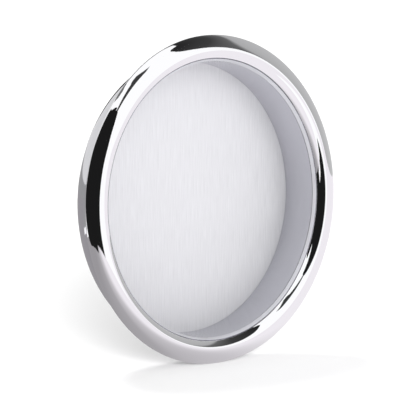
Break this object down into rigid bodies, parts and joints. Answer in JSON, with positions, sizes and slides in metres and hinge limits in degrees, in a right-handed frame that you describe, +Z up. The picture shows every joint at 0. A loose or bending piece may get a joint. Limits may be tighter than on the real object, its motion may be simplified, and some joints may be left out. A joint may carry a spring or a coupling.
{
  "type": "coin display frame",
  "caption": "Round polished frame with a deep open well for a coin or capsule, a brushed backing plate, a pull-off bezel and an adhesive pad on its flat back.",
  "frame": {"origin": "centre of the mounting face, the outer face of the pad on the flat back", "axes": "+Z up, the frame's axis along Y, and the open front towards -Y"},
  "size_m": [0.06, 0.012, 0.06],
  "materials": {
    "polished_chrome": "mirror polished plating",
    "shell_chrome": "polished plating",
    "satin_metal": "soft polish, turned round the well",
    "brushed_plate": "pale, very finely brushed upright",
    "black_rubber": "matt moulded rubber",
    "white_foam": "closed-cell foam",
    "dark_foam": "closed-cell foam with adhesive faces"
  },
  "bodies": {
    "rear_housing": {"rear_shell": "shell_chrome", "mount_pad": "dark_foam", "plate_pad": "white_foam", "backing_plate": "brushed_plate"},
    "bezel": {"front_bezel": "polished_chrome", "well_sleeve": "satin_metal", "grip_ring": "black_rubber"}
  },
  "joints": [
    {"name": "bezel_pull", "type": "slide", "parent": "rear_housing", "child": "bezel", "axis": [0, -1, 0], "range_m": [0, 0.012]}
  ]
}
